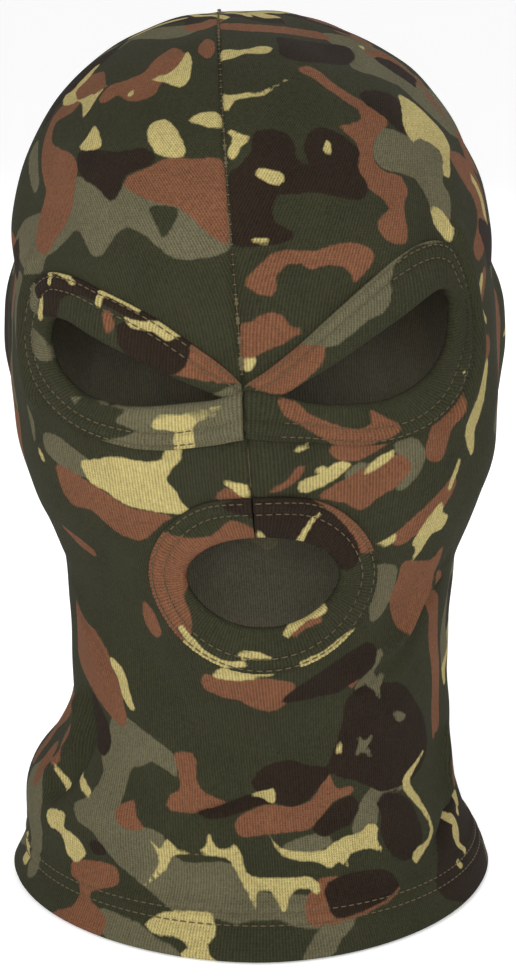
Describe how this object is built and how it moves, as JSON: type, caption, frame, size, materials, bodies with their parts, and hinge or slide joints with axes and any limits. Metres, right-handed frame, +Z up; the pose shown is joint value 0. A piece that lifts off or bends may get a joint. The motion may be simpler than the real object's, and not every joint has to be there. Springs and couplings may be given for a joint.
{
  "type": "balaclava",
  "caption": "Close-fitting knitted hood in a woodland camouflage print, with bound eye and mouth holes, a seam over the crown and a hemmed neck.",
  "frame": {"origin": "middle of the neck opening, on the plane of the hem's lower edge", "axes": "+Z up from hem to crown, -Y out of the face, +X to the wearer's left"},
  "size_m": [0.1704, 0.2048, 0.2939],
  "materials": {
    "print_jersey": "matte cotton jersey, printed in blotches of dark green, grey green, red brown, dark brown and yellow sand",
    "binding_jersey": "matte cotton jersey strip, same print",
    "needle_thread": "twisted sewing thread, dark olive",
    "overlock_thread": "overlocked seam edge, dark olive thread over jersey"
  },
  "bodies": {
    "root": {"hood_body": "print_jersey", "left_eye_binding": "binding_jersey", "left_eye_outer_needle_row": "needle_thread", "left_eye_inner_needle_row": "needle_thread", "right_eye_binding": "binding_jersey", "right_eye_outer_needle_row": "needle_thread", "right_eye_inner_needle_row": "needle_thread", "mouth_binding": "binding_jersey", "mouth_outer_needle_row": "needle_thread", "mouth_inner_needle_row": "needle_thread", "lower_hem_needle_row": "needle_thread", "upper_hem_needle_row": "needle_thread", "nose_seam_overlock": "overlock_thread", "crown_seam_overlock": "overlock_thread"}
  },
  "joints": []
}
